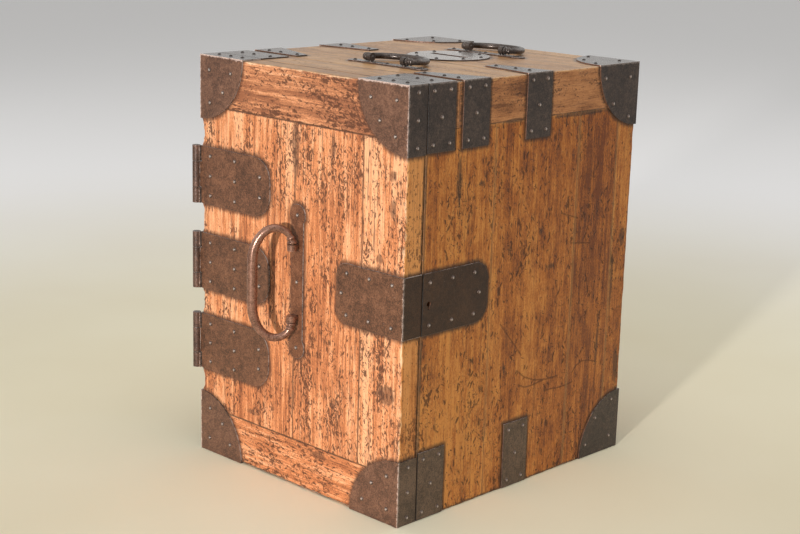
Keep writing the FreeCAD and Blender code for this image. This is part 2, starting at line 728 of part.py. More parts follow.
def case_nails():
    """Nails in the straps, rear corners, lock and hinge plates and the irons on top."""
    case_front = -s.depth/2 + s.door_thick + s.door_gap
    skin = s.width/2 + s.iron
    top = s.height + s.iron
    rear = s.depth/2 + s.iron
    middle = s.strap_width/2
    leaf_spots = corner_nails(s.nail_edge, s.rear_nail_angle)
    starts = (case_front, case_front + s.second_strap, case_front + s.third_strap)
    lines = (middle, s.strap_tip/2, middle)
    steps = (2*s.nail_edge, s.strap_reach/2, s.strap_reach - s.nail_edge)
    spots = []
    for side in (1, -1):
        outward = (side, 0, 0)
        low_starts = (case_front, case_front + s.low_second_strap)
        flat = [spot for start in starts for spot in strap_nails(start, top, s.strap_drop)]
        for start in low_starts:
            flat += strap_nails(start, s.iron_lift + s.low_strap_drop, s.low_strap_drop)
        spots += [((side*skin, y, z), outward) for y, z in flat]
        for start, line in zip(starts, lines):
            spots += [((side*(skin - step), start + line, top), (0, 0, 1)) for step in steps]
        for along, up in leaf_spots:
            for height in (top - up, s.iron_lift + up):
                spots.append(((side*skin, rear - along, height), outward))
                spots.append(((side*(skin - along), rear, height), (0, 1, 0)))
            spots.append(((side*(skin - along), rear - up, top), (0, 0, 1)))

    row = s.lock_plate_height/2 - s.nail_edge - s.nail_head
    first = case_front - s.lock_nail_shift
    for back in three_along(s.lock_side_reach, 2*s.nail_edge):
        for rise in (row, -row):
            spots.append(((skin, first + back, s.lock_level + rise), (1, 0, 0)))
    spots.append(((skin, first + s.lock_side_reach - s.nail_edge, s.lock_level), (1, 0, 0)))

    row = s.hinge_height/2 - s.nail_edge - s.nail_head
    for level in (s.hinge_high, s.hinge_middle, s.hinge_low):
        for back in (2*s.nail_edge, s.hinge_side_leaf - 2*s.nail_edge):
            for rise in (row, 0, -row):
                spots.append(((-skin, case_front + back, level + rise), (-1, 0, 0)))

    rim = s.coin_plate_radius - s.nail_edge
    count = int(s.coin_plate_nails)
    for step in range(count):
        turn = (step + 0.5)*2*pi/count
        spot = (rim*cos(turn), case_front + s.coin_plate_back + rim*sin(turn), top)
        spots.append((spot, (0, 0, 1)))
    end = s.carry_plate_length/2 - s.carry_plate_end
    for side, back in ((s.carry_front_side, s.carry_front), (s.carry_rear_side, s.carry_rear)):
        spots += [((side + across, case_front + back, top), (0, 0, 1)) for across in (-end, 0, end)]
    nail_group("case_nails", spots)


def write_parts():
    """Checks every object and writes one file for each sub-part."""
    for item in doc.Objects:
        if "Invalid" in item.State or "Error" in item.State:
            raise RuntimeError(f"{item.Label} failed: {item.State}")
    for item in parts:
        if item.Shape.isNull() or not item.Shape.isValid() or not item.Shape.Solids:
            raise RuntimeError(f"{item.Label} has no valid solid")
    os.makedirs("parts", exist_ok=True)
    for item in parts:
        item.Shape.exportStep(f"parts/{item.Label}.step")
    print(f"{len(parts)} sub-parts written")


case_boards()
door_boards()
door_corner_irons()
rear_corner_irons()
straps()
hinges()
lock()
front_handle()
carrying_handles()
coin_plate()
doc.recompute()
door_nails()
case_nails()
doc.recompute()
write_parts()
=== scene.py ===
import json
import math
import random
from itertools import product

import bmesh
import bpy
import numpy as np
from mathutils import Matrix, Vector
from mathutils.bvhtree import BVHTree

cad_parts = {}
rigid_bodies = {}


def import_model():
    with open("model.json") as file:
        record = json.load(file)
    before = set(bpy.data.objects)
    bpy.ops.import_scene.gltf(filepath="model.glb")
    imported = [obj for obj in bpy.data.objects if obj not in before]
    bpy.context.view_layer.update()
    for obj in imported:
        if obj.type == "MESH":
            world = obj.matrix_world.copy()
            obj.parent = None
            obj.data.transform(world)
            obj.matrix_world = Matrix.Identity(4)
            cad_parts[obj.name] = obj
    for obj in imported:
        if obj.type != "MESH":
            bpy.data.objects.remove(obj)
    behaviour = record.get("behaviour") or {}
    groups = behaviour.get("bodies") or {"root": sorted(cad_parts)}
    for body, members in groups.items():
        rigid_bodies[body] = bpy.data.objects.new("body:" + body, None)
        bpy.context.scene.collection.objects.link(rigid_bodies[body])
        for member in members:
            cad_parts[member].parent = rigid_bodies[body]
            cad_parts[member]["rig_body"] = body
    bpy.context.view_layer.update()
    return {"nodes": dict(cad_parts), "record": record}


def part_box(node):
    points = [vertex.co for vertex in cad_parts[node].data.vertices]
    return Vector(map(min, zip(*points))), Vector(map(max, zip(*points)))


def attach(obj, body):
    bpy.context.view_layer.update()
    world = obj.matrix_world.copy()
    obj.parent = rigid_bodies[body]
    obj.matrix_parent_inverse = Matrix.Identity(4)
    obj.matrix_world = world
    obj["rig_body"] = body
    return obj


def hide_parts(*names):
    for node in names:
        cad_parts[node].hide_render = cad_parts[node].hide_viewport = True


# Looks of an iron-bound wooden money box, in metres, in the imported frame

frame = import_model()
nodes = frame["nodes"]
body_of_node = {name: item["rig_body"] for name, item in nodes.items()}
joints = {joint["name"]: joint for joint in frame["record"]["behaviour"]["joints"]}
MM = 0.001

# Faces of the wooden box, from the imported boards
FRONT_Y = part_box("door_left_board")[0].y
LEFT_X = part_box("left_side_front_board")[0].x
RIGHT_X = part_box("right_side_front_board")[1].x
DOOR_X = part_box("door_right_board")[1].x
TOP_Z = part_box("top_middle_board")[1].z
BACK_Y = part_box("back_panel")[1].y
DOOR_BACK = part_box("door_left_board")[1].y
CASE_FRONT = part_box("right_side_front_board")[0].y
BOX_LOW = np.array((LEFT_X, FRONT_Y, 0.0))
BOX_HIGH = np.array((RIGHT_X, BACK_Y, TOP_Z))

# Thickness of the irons, rise of the nails' heads, hinge line and radius of its barrels
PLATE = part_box("lock_side_plate")[1].x - RIGHT_X
NAIL_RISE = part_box("case_nails")[1].x - RIGHT_X - PLATE
HINGE = Vector(joints["door_swing"]["pos_m"])
BARREL = HINGE.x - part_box("hinge_high_door_leaf")[0].x

# Keyway through the right side and slot through the top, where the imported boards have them
KEY = Vector((RIGHT_X, -130.7*MM, 204*MM))
KEY_RADIUS = 4.5*MM
KEY_IN = Vector((30*MM, 0, 0))
KEY_OUT = Vector((10*MM, 0, 0))
SLOT = Vector((0, 37.3*MM, TOP_Z))
SLOT_HALF = Vector((23*MM, 3.5*MM, 60*MM))

# Numbers of the Mix node's sockets that hold colours
MIX_FIRST, MIX_SECOND, MIX_RESULT = 6, 7, 2


def linear(red, green, blue):
    """An sRGB colour of 0 to 255 as the linear colour that shaders take."""
    def channel(value):
        share = value/255
        return share/12.92 if share <= 0.04045 else ((share + 0.055)/1.055)**2.4
    return (channel(red), channel(green), channel(blue), 1.0)


class Paint:
    """One material, with short ways to add its nodes."""

    def __init__(self, name):
        self.material = bpy.data.materials.new(name)
        self.material.use_nodes = True
        self.nodes = self.material.node_tree.nodes
        self.links = self.material.node_tree.links
        self.shader = self.nodes["Principled BSDF"]

    def feed(self, socket, source):
        """Links a socket to another one, or sets it to a plain value."""
        if isinstance(source, bpy.types.NodeSocket):
            self.links.new(source, socket)
        else:
            socket.default_value = source

    def attribute(self, name, output="Fac"):
        """What the mesh's points say under a name."""
        node = self.nodes.new("ShaderNodeAttribute")
        node.attribute_name = name
        return node.outputs[output]

    def place(self):
        """The point that is painted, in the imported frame."""
        return self.nodes.new("ShaderNodeTexCoord").outputs["Object"]

    def stretch(self, vector, *scale):
        """A vector times a scale for each of its parts."""
        node = self.nodes.new("ShaderNodeVectorMath")
        node.operation = "MULTIPLY"
        self.feed(node.inputs[0], vector)
        self.feed(node.inputs[1], scale)
        return node.outputs["Vector"]

    def turn(self, vector, degrees):
        """A vector turned in the plane of its first two parts."""
        node = self.nodes.new("ShaderNodeVectorRotate")
        node.rotation_type = "Z_AXIS"
        self.feed(node.inputs["Vector"], vector)
        node.inputs["Angle"].default_value = math.radians(degrees)
        return node.outputs["Vector"]

    def noise(self, vector, scale=1.0, detail=2.0, roughness=0.5, distortion=0.0):
        """Smooth noise round a half."""
        node = self.nodes.new("ShaderNodeTexNoise")
        self.feed(node.inputs["Vector"], vector)
        node.inputs["Scale"].default_value = scale
        node.inputs["Detail"].default_value = detail
        node.inputs["Roughness"].default_value = roughness
        node.inputs["Distortion"].default_value = distortion
        return node.outputs["Fac"]

    def fibre(self, grain, along, across, detail, roughness=0.5):
        """Noise drawn out along the grain: waves to a metre along it and across it."""
        return self.noise(self.stretch(grain, along, across, across), detail=detail, roughness=roughness)

    def shift(self, vector, amount, scale=420.0):
        """A vector moved a little, differently from place to place, to break straight outlines."""
        node = self.nodes.new("ShaderNodeTexNoise")
        self.feed(node.inputs["Vector"], vector)
        node.inputs["Scale"].default_value = scale
        node.inputs["Detail"].default_value = 1.0
        away = self.nodes.new("ShaderNodeVectorMath")
        away.operation = "MULTIPLY_ADD"
        self.feed(away.inputs[0], node.outputs["Color"])
        self.feed(away.inputs[1], (amount, amount, amount))
        self.feed(away.inputs[2], vector)
        return away.outputs["Vector"]

    def spots(self, vector, limit, growth, soft):
        """Separate spots of many sizes, one to a cell, larger and more frequent the lower the limit is."""
        node = self.nodes.new("ShaderNodeTexVoronoi")
        self.feed(node.inputs["Vector"], vector)
        node.inputs["Scale"].default_value = 1.0
        parts = self.nodes.new("ShaderNodeSeparateColor")
        self.feed(parts.inputs[0], node.outputs["Color"])
        size = self.maths("MULTIPLY", self.maths("SUBTRACT", parts.outputs[0], limit), growth)
        return self.span(self.maths("SUBTRACT", size, node.outputs["Distance"]), 0.0, soft)

    def maths(self, operation, *values):
        """One sum or comparison of plain numbers."""
        node = self.nodes.new("ShaderNodeMath")
        node.operation = operation
        for socket, value in zip(node.inputs, values):
            self.feed(socket, value)
        return node.outputs["Value"]

    def plus(self, value, other, weight):
        """A value plus another one times a weight."""
        return self.maths("ADD", value, self.maths("MULTIPLY", other, weight))

    def off(self, value, level):
        """How far a value is from a level, to either side."""
        return self.maths("ABSOLUTE", self.maths("SUBTRACT", value, level))

    def total(self, *terms):
        """Sum of (weight, value) terms."""
        whole = None
        for weight, value in terms:
            term = self.maths("MULTIPLY", value, weight)
            whole = term if whole is None else self.maths("ADD", whole, term)
        return whole

    def span(self, value, low, high):
        """A smooth step from 0 at low to 1 at high, whichever is larger."""
        node = self.nodes.new("ShaderNodeMapRange")
        node.interpolation_type = "SMOOTHSTEP"
        self.feed(node.inputs["Value"], value)
        node.inputs["From Min"].default_value = min(low, high)
        node.inputs["From Max"].default_value = max(low, high)
        node.inputs["To Min"].default_value = 0.0 if low < high else 1.0
        node.inputs["To Max"].default_value = 1.0 if low < high else 0.0
        return node.outputs["Result"]

    def ramp(self, value, *stops):
        """A colour between (position, colour) stops."""
        node = self.nodes.new("ShaderNodeValToRGB")
        self.feed(node.inputs["Fac"], value)
        marks = node.color_ramp.elements
        while len(marks) < len(stops):
            marks.new(1.0)
        for mark, (position, colour) in zip(marks, stops):
            mark.position = position
            mark.color = colour
        return node.outputs["Color"]

    def mix(self, share, first, second):
        """The first colour where the share is 0, the second where it is 1."""
        node = self.nodes.new("ShaderNodeMix")
        node.data_type = "RGBA"
        self.feed(node.inputs[0], share)
        self.feed(node.inputs[MIX_FIRST], first)
        self.feed(node.inputs[MIX_SECOND], second)
        return node.outputs[MIX_RESULT]

    def over(self, colour, other, share, weight):
        """Another colour laid over one, by a share times a weight."""
        return self.mix(self.maths("MULTIPLY", share, weight), colour, other)

    def bump(self, height, strength, distance):
        """The surface's normal, tilted by a height."""
        node = self.nodes.new("ShaderNodeBump")
        self.feed(node.inputs["Height"], height)
        node.inputs["Strength"].default_value = strength
        node.inputs["Distance"].default_value = distance
        return node.outputs["Normal"]

    def finish(self, colour, roughness, normal=None, metallic=0.0, specular=0.5):
        """The finished material."""
        self.feed(self.shader.inputs["Base Color"], colour)
        self.feed(self.shader.inputs["Roughness"], roughness)
        self.shader.inputs["Metallic"].default_value = metallic
        self.shader.inputs["Specular IOR Level"].default_value = specular
        if normal is not None:
            self.feed(self.shader.inputs["Normal"], normal)
        return self.material


def middle_one(p, first, second, third):
    """The middle one of three distances from planes: how far a point is from the planes' nearest edge."""
    low = p.maths("MINIMUM", first, second)
    high = p.maths("MAXIMUM", first, second)
    return p.maths("MAXIMUM", low, p.maths("MINIMUM", high, third))


def wood(name, tones, marks, streak=0.45, mottle=0.15, contrast=1.3, pits=0.62, nicks=0.70, wear=0.67,
         clump=0.3, grit=1.0, soft=0.3, depth=0.85, lines=0.6, smudge=0.0, seam=0.8, seam_pale=0.0,
         fringe=8*MM, gloss=0.5, specular=0.4, turned=0):
    """Old board: grain in streaks, gouges and pits, dirt with painted shade round the irons, and worn edges.

    tones are the grain's dark, middle and light; marks are the colours of hollows, of dirt with painted
    shade, and of rubbed rims.
    """
    p = Paint(name)
    dark, middle, light = (linear(*tone) for tone in tones)
    pit, soot_and_shade, pale = (linear(*mark) for mark in marks)
    grain = p.turn(p.attribute("grain", "Vector"), turned)
    seam_near = p.attribute("seam_near")
    stain_and_shade = p.attribute("stain_and_shade")

    # Grain, from broad bands down to dust
    streaks = p.fibre(grain, 11, 240, 5.0, 0.65)
    bands = (
        (0.26, p.fibre(grain, 3, 30, 3.0)), (streak, streaks), (0.2, p.fibre(grain, 60, 1000, 2.0, 0.6)),
        (mottle, p.fibre(grain, 42, 75, 5.0, 0.65)), (0.18, p.fibre(grain, 500, 900, 1.0)),
    )
    even = p.maths("DIVIDE", p.total(*bands), sum(weight for weight, _ in bands))
    tone = p.total((contrast, p.maths("SUBTRACT", even, 0.5)), (0.1, p.attribute("shade")), (0.5, 1.0))
    colour = p.ramp(tone, (0.36, dark), (0.48, middle), (0.60, light))

    # Dark lines along the grain, and smudges
    wide = p.span(p.fibre(grain, 8, 170, 4.0, 0.7), 0.55, 0.68)
    colour = p.over(colour, dark, wide, 0.5*lines)
    line = p.span(p.fibre(grain, 16, 560, 3.0, 0.65), 0.57, 0.68)
    colour = p.over(colour, pit, line, lines)
    blot = p.span(p.fibre(grain, 14, 26, 6.0, 0.72), 0.5, 0.72)
    colour = p.over(colour, dark, blot, smudge)

    # Hollows: scratches, four layers of pits and nicks, two of rubbed places
    crowd = p.span(p.fibre(grain, 17, 42, 3.0), 0.35, 0.7)
    crowd = p.total((clump, crowd), (0.2, p.attribute("scuff")), (0.12, stain_and_shade), (-clump/2, 1.0))
    loose = p.shift(grain, 2.2*MM)
    hollow = p.maths("MULTIPLY", p.span(p.attribute("scratch"), 0.25, 0.8), 0.75)
    layers = ((2, 130, 520, pits), (35, 170, 460, nicks), (-32, 150, 430, nicks), (12, 70, 230, nicks + 0.12))
    for angle, along, across, level in layers:
        limit = p.maths("SUBTRACT", level, crowd)
        cells = p.stretch(p.turn(loose, angle), along*grit, across*grit, across*grit)
        hollow = p.maths("MAXIMUM", hollow, p.spots(cells, limit, 1.2, soft))
    for angle, along, across in ((8, 120, 480), (70, 240, 420)):
        rubs = p.plus(p.fibre(p.turn(grain, angle), along, across, 2.5, 0.65), crowd, 0.35)
        hollow = p.maths("MAXIMUM", hollow, p.span(rubs, wear, wear + 0.08))
    colour = p.over(colour, pit, hollow, depth)

    # Rubbed rims and ledges
    jitter = p.maths("SUBTRACT", p.fibre(grain, 70, 480, 4.0, 0.65), 0.5)
    rim = p.span(p.plus(p.attribute("rim_near"), jitter, 14*MM), 1.6*MM, 0.2*MM)
    colour = p.over(colour, pale, rim, 0.6)
    ledge = p.span(p.plus(seam_near, jitter, 4*MM), 2.8*MM, 1.2*MM)
    colour = p.over(colour, pale, ledge, seam_pale)

    # Dirt with painted shade round the irons, dirt in the seams, and marks, among them painted shade at the
    # side's foot
    dirt_shade_halo = p.span(p.plus(p.attribute("iron_near"), jitter, fringe), 5.2*MM, 0.4*MM)
    gap = p.span(p.plus(seam_near, jitter, 3*MM), 1.4*MM, 0.4*MM)
    marked_and_shaded = p.span(p.plus(stain_and_shade, jitter, 1.1), 0.4, 0.65)
    dirt_and_shade = p.maths("MAXIMUM", p.maths("MULTIPLY", dirt_shade_halo, 0.85), p.maths("MULTIPLY", gap, seam))
    dirt_and_shade = p.maths("MAXIMUM", dirt_and_shade, p.maths("MULTIPLY", marked_and_shaded, 0.65))
    colour = p.mix(dirt_and_shade, colour, soot_and_shade)

    height = p.total((0.5, tone), (-0.25, line), (-0.8, hollow))
    rough = p.total((0.25, streaks), (0.2, hollow), (gloss - 0.12, 1.0))
    return p.finish(colour, rough, p.bump(height, 0.55, 0.6*MM), specular=specular)


def iron(name, tones, gloss=0.5, metallic=0.25, rubbing=0.8, specular=0.5, relief=0.4, crown=None,
         shaded_top=None):
    """Hammered sheet iron: fine rust speckle over broad patches, rubbed bright where it is bent round.

    tones are dark, middle, rust and worn. crown is how far out a nail's head starts, whose top is then rubbed
    and given a painted highlight; the colour for the top is painted on what stands on top of the box, as
    shade.
    """
    p = Paint(name)
    dark, middle, rust, worn = (linear(*tone) for tone in tones)
    place = p.place()
    axes = p.nodes.new("ShaderNodeSeparateXYZ")
    p.feed(axes.inputs[0], place)
    x, y, z = axes.outputs
    sideways = p.maths("ABSOLUTE", x)

    # Rust: speckle, mottle and patches, with blooms of more rust
    speckle = p.noise(place, scale=760, detail=3.0, roughness=0.75)
    mottle = p.noise(place, scale=170, detail=3.0, roughness=0.6)
    patch = p.noise(place, scale=30, detail=3.0, roughness=0.55, distortion=0.5)
    tone = p.total((0.55, speckle), (0.25, mottle), (0.20, patch))
    colour = p.ramp(tone, (0.39, dark), (0.50, middle), (0.61, rust))
    bloom = p.span(p.noise(place, scale=58, detail=4.0, roughness=0.65), 0.58, 0.74)
    colour = p.over(colour, rust, bloom, 0.35)

    # Rubbed places: specks all over and the box's corners; the tops of nails are rubbed and carry a painted
    # highlight
    corner = middle_one(
        p, p.off(sideways, RIGHT_X + PLATE), p.off(y, FRONT_Y - PLATE), p.off(z, TOP_Z + PLATE),
    )
    chafe = p.noise(place, scale=330, detail=4.0, roughness=0.75)
    bent = p.span(p.plus(corner, p.maths("SUBTRACT", chafe, 0.5), 6*MM), 1.9*MM, 0.5*MM)
    rubbed = p.maths("MULTIPLY", p.span(chafe, 0.66, 0.76), 0.35)
    shine = p.maths("MAXIMUM", p.maths("MULTIPLY", bent, rubbing), rubbed)
    colour = p.mix(shine, colour, worn)
    if crown is not None:
        forward = p.maths("SUBTRACT", FRONT_Y - PLATE, y)
        crown_rub_and_highlight = p.maths("MAXIMUM", p.maths("SUBTRACT", sideways, crown), forward)
        colour = p.over(colour, worn, p.span(crown_rub_and_highlight, 0.6*NAIL_RISE, NAIL_RISE), 0.65)
    # Painted shade: what stands above the box's top, such as nail heads, is painted darker
    if shaded_top is not None:
        colour = p.mix(p.span(z, TOP_Z, TOP_Z + PLATE), colour, linear(*shaded_top))

    height = p.total((0.6, speckle), (0.8, mottle), (0.7, patch))
    rough = p.total((0.3, mottle), (0.15, bloom), (gloss - 0.2, 1.0))
    return p.finish(colour, rough, p.bump(height, relief, 0.8*MM), metallic, specular)


def broken_edge_paint(name, worn, dark):
    """Edge of a plate in two broken tones that are given: rubbed iron on most edges, a painted highlight on
    some, painted shade in the gaps.
    """
    p = Paint(name)
    broken = p.noise(p.place(), scale=210, detail=4.0, roughness=0.7)
    colour = p.ramp(broken, (0.40, linear(*dark)), (0.56, linear(*worn)))
    rough = p.total((0.3, broken), (0.25, 1.0))
    return p.finish(colour, rough, p.bump(broken, 0.4, 0.5*MM), metallic=0.3)


# Wood of the door, its top rail, the case, edges, end grain, the top and the inside
DOOR_MARK_TONES = ((86, 49, 30), (84, 52, 36), (255, 214, 172))
DOOR_LOOK = {
    "streak": 0.5, "contrast": 1.45, "pits": 0.5, "nicks": 0.61, "wear": 0.64, "depth": 0.9, "lines": 0.75,
    "gloss": 0.52,
}
door_wood = wood("door_wood", ((146, 82, 49), (208, 131, 82), (243, 179, 133)), DOOR_MARK_TONES, **DOOR_LOOK)
rail_wood = wood("rail_wood", ((147, 91, 60), (206, 138, 94), (240, 184, 142)), DOOR_MARK_TONES, **DOOR_LOOK)
# The case's darker amber: partly its own wood, partly painted shade of the box's sides
case_wood = wood(
    "case_wood", ((110, 57, 23), (170, 100, 41), (202, 135, 65)),
    ((58, 31, 16), (50, 36, 26), (218, 162, 96)),
    streak=0.32, mottle=0.28, contrast=1.6, pits=0.60, nicks=0.635, wear=0.645, clump=0.2, grit=0.74,
    depth=0.79, lines=0.4, smudge=0.3, seam=0.35, seam_pale=0.25, fringe=5*MM, gloss=0.42,
)
edge_wood = wood(
    "edge_wood", ((120, 70, 32), (184, 116, 56), (212, 146, 82)),
    ((78, 45, 23), (56, 38, 26), (246, 198, 148)),
    streak=0.45, mottle=0.2, contrast=1.4, pits=0.78, nicks=0.74, wear=0.68, soft=0.2, depth=0.7, lines=0.4,
    seam=0.35, gloss=0.45,
)
end_wood = wood(
    "end_wood", ((112, 69, 39), (168, 112, 68), (192, 134, 86)),
    ((76, 47, 29), (52, 38, 30), (214, 166, 112)),
    streak=0.35, mottle=0.4, contrast=1.6, pits=0.66, nicks=0.68, wear=0.66, depth=0.75, lines=0.4,
    smudge=0.3, seam=0.4, turned=90,
)
top_wood = wood(
    "top_wood", ((128, 88, 50), (174, 126, 76), (204, 158, 106)),
    ((84, 54, 34), (60, 45, 34), (226, 190, 142)),
    streak=0.4, mottle=0.3, contrast=1.6, pits=0.80, nicks=0.82, wear=0.70, depth=0.6, lines=0.5, gloss=0.38,
    specular=0.55,
)
raw_wood = wood(
    "raw_wood", ((176, 140, 96), (204, 170, 122), (222, 192, 146)),
    ((140, 104, 66), (110, 84, 58), (232, 206, 164)),
    streak=0.4, pits=0.92, nicks=0.94, wear=0.8, lines=0.3, gloss=0.7, specular=0.25,
)

# Iron of the plates, by where they are
front_iron = iron("front_iron", ((73, 50, 39), (107, 75, 58), (139, 100, 79), (226, 200, 188)))
hinge_iron = iron(
    "hinge_iron", ((56, 40, 33), (88, 64, 53), (122, 90, 76), (206, 176, 162)), gloss=0.42, rubbing=0.0,
)
LEAF_TONES = ((69, 45, 32), (105, 70, 50), (139, 95, 69), (222, 194, 178))
leaf_iron = iron("leaf_iron", LEAF_TONES, rubbing=0.0)
lock_front_iron = iron("lock_front_iron", LEAF_TONES)
side_iron = iron(
    "side_iron", ((42, 36, 33), (66, 55, 49), (94, 78, 68), (168, 154, 146)), gloss=0.45, rubbing=0.5,
)
# Lower straps: paler than the other side irons, as painted light reflected from the floor
floor_lit_low_iron = iron(
    "floor_lit_low_iron", ((56, 45, 37), (90, 73, 59), (116, 94, 77), (176, 160, 148)), gloss=0.48, rubbing=0.5,
)
lock_plate_iron = iron(
    "lock_plate_iron", ((41, 26, 16), (58, 38, 25), (77, 53, 35), (168, 150, 138)), gloss=0.48, rubbing=0.5,
)
pull_iron = iron("pull_iron", ((78, 46, 31), (117, 73, 48), (148, 98, 70), (208, 172, 150)))
top_iron = iron(
    "top_iron", ((58, 52, 50), (92, 84, 80), (118, 106, 99), (190, 182, 176)),
    gloss=0.32, metallic=0.3, rubbing=0.6, specular=1.0, relief=0.2,
)
# Light grey of the slot's plate: polished iron, with a painted reflection of the pale surroundings
coin_sheen_iron = iron(
    "coin_sheen_iron", ((136, 130, 126), (170, 162, 157), (190, 181, 175), (222, 215, 210)),
    gloss=0.28, metallic=0.4, specular=1.0, relief=0.15,
)

# Iron of the handles, the lock and the nails, and of the plates' edges
handle_iron = iron(
    "handle_iron", ((92, 65, 52), (131, 94, 77), (156, 117, 98), (208, 180, 165)),
    gloss=0.34, metallic=0.45, relief=0.15,
)
dark_handle_iron = iron(
    "dark_handle_iron", ((50, 44, 41), (74, 65, 60), (96, 83, 75), (186, 178, 171)),
    gloss=0.34, metallic=0.5, relief=0.15,
)
lock_iron = iron("lock_iron", ((60, 54, 50), (96, 88, 82), (120, 96, 80), (160, 154, 148)))
NAIL_TONES = ((62, 51, 45), (84, 69, 61), (104, 87, 78), (212, 198, 188))
# Nails are painted darker on top of the box, as shade, and lighter at their crowns, as rubbing with a painted
# highlight
NAIL_LOOK = {"gloss": 0.38, "metallic": 0.5, "relief": 0.1, "shaded_top": (46, 38, 34)}
case_nail_iron = iron("case_nail_iron", NAIL_TONES, crown=RIGHT_X + PLATE, **NAIL_LOOK)
door_nail_iron = iron("door_nail_iron", NAIL_TONES, crown=DOOR_X + PLATE, **NAIL_LOOK)
edge_iron = broken_edge_paint("edge_iron", (96, 78, 69), (52, 41, 36))
# Painted highlight for plate edges that face up or towards the lock
painted_highlight_edge = broken_edge_paint("painted_highlight_edge", (186, 172, 164), (88, 74, 66))
# Painted shade for plate faces in the gap between door and case
gap_shade_iron = broken_edge_paint("gap_shade_iron", (40, 33, 29), (26, 21, 18))


def wobble(values, seed, shortest, longest, waves=7):
    """Smooth random numbers of about -1 to 1 along a line, the same on each run."""
    dice = random.Random(seed)
    whole = np.zeros_like(values)
    for _ in range(waves):
        length = math.exp(dice.uniform(math.log(shortest), math.log(longest)))
        whole += np.sin(2*math.pi*values/length + dice.uniform(0, 2*math.pi))
    return whole/math.sqrt(waves)


# Points of a board and of a plate that are nearer than this are one
BOARD_MERGE, PLATE_MERGE = 1e-7, 2e-6
# Lines of a board's grid near an edge, from that edge
EDGE_LINES = [m*MM for m in (0.0, 0.5, 1.1, 1.9, 2.9, 4.2, 5.8, 7.8, 10.0)]


def grid_lines(low, high, step):
    """Places along one side of a board: close together near its edges, even between them."""
    margins = EDGE_LINES
    if high - low < 4*margins[-1]:
        share = (high - low)/2/(margins[-1] + step)
        margins = [m*share for m in margins]
    inner_low, inner_high = low + margins[-1], high - margins[-1]
    count = max(1, round((inner_high - inner_low)/step))
    between = np.linspace(inner_low, inner_high, count + 1)[1:-1]
    ends = [high - m for m in reversed(margins)]
    return np.array([low + m for m in margins] + list(between) + ends)


def board_grid(low, high, step):
    """A closed box of small squares, as one mesh."""
    lines = [grid_lines(low[axis], high[axis], step) for axis in range(3)]
    shape = bmesh.new()
    for axis in range(3):
        first, second = (axis + 1) % 3, (axis + 2) % 3
        for level in (low[axis], high[axis]):
            rows = []
            for u in lines[first]:
                row = []
                for v in lines[second]:
                    spot = [0.0, 0.0, 0.0]
                    spot[axis], spot[first], spot[second] = level, u, v
                    row.append(shape.verts.new(spot))
                rows.append(row)
            for row, following in zip(rows, rows[1:]):
                for a, b, c, d in zip(row, following, following[1:], row[1:]):
                    corners = (a, b, c, d) if level == high[axis] else (d, c, b, a)
                    shape.faces.new(corners)
    bmesh.ops.remove_doubles(shape, verts=shape.verts, dist=BOARD_MERGE)
    return shape


# Wear of an edge that has none of its own: radius, shortest wave and longest wave
PLAIN_EDGE = (0.7*MM, 6*MM, 90*MM)


def round_edges(points, low, high, worn, seed):
    """Wears a board's twelve edges round.

    worn gives (radius, shortest wave, longest wave) for edges named by their two sides; the radius may be a
    function of the place along the edge.
    """
    ends = (low, high)
    inward = (1, -1)
    for axis, first_end, second_end in product(range(3), (0, 1), (0, 1)):
        first, second = (axis + 1) % 3, (axis + 2) % 3
        names = {"xyz"[first] + "-+"[first_end], "xyz"[second] + "-+"[second_end]}
        found = [wear for pair, wear in worn.items() if set(pair.split()) == names]
        size, shortest, longest = found[0] if found else PLAIN_EDGE
        seed += 1
        along = points[:, axis]
        size = size(along) if callable(size) else size
        radius = size*np.clip(0.85 + 0.2*wobble(along, seed, shortest, longest), 0.2, 1.4)
        sides = (
            (first, ends[first_end][first], inward[first_end]),
            (second, ends[second_end][second], inward[second_end]),
        )
        inside = [np.maximum(radius - (points[:, side] - edge)*sign, 0) for side, edge, sign in sides]
        far = np.hypot(*inside)
        hit = (inside[0] > 0) & (inside[1] > 0) & (far > radius)
        for (side, edge, sign), over in zip(sides, inside):
            moved = edge + sign*(radius - over*radius/np.maximum(far, 1e-9))
            points[hit, side] = moved[hit]
    return points


# Dirt, burns, old marks and painted shade at the side's foot, in mm: across, up, half across, half up, and
# how strong
# Across is from the left edge on the door, and from the front on the right side
DOOR_MARKS = [
    (136, 326, 5, 30, 1.3), (186, 335, 4, 16, 1.0), (259, 121, 13, 10, 1.2), (261, 320, 7, 7, 0.8),
    (262, 291, 5, 12, 0.9), (248, 244, 8, 6, 0.8), (191, 94, 8, 4, 0.8), (77, 58, 12, 4, 0.8),
    (172, 40, 14, 6, 0.8),
]
SIDE_MARKS_AND_FOOT_SHADE = [
    (314, 225, 5, 12, 1.0), (141, 358, 18, 2.5, 1.0), (237, 356, 46, 2.5, 1.1), (67, 310, 5, 34, 0.8),
    (193, 24, 15, 11, 0.45), (282, 122, 3, 40, 0.8), (300, 180, 4, 60, 0.7), (316, 90, 6, 30, 0.8),
    (97, 305, 6, 4, 0.8), (185, 248, 6, 5, 0.7), (202, 212, 9, 5, 0.7), (139, 237, 4, 7, 0.7),
    (91, 139, 5, 5, 0.6), (139, 121, 4, 7, 0.6), (106, 110, 5, 5, 0.6), (22.4, 200, 2.4, 900, 1.3),
    # Last: dark band along the foot of the right side, a worn bottom edge with painted shade where it meets
    # the floor
    (170, 0, 400, 3, 1.0),
]
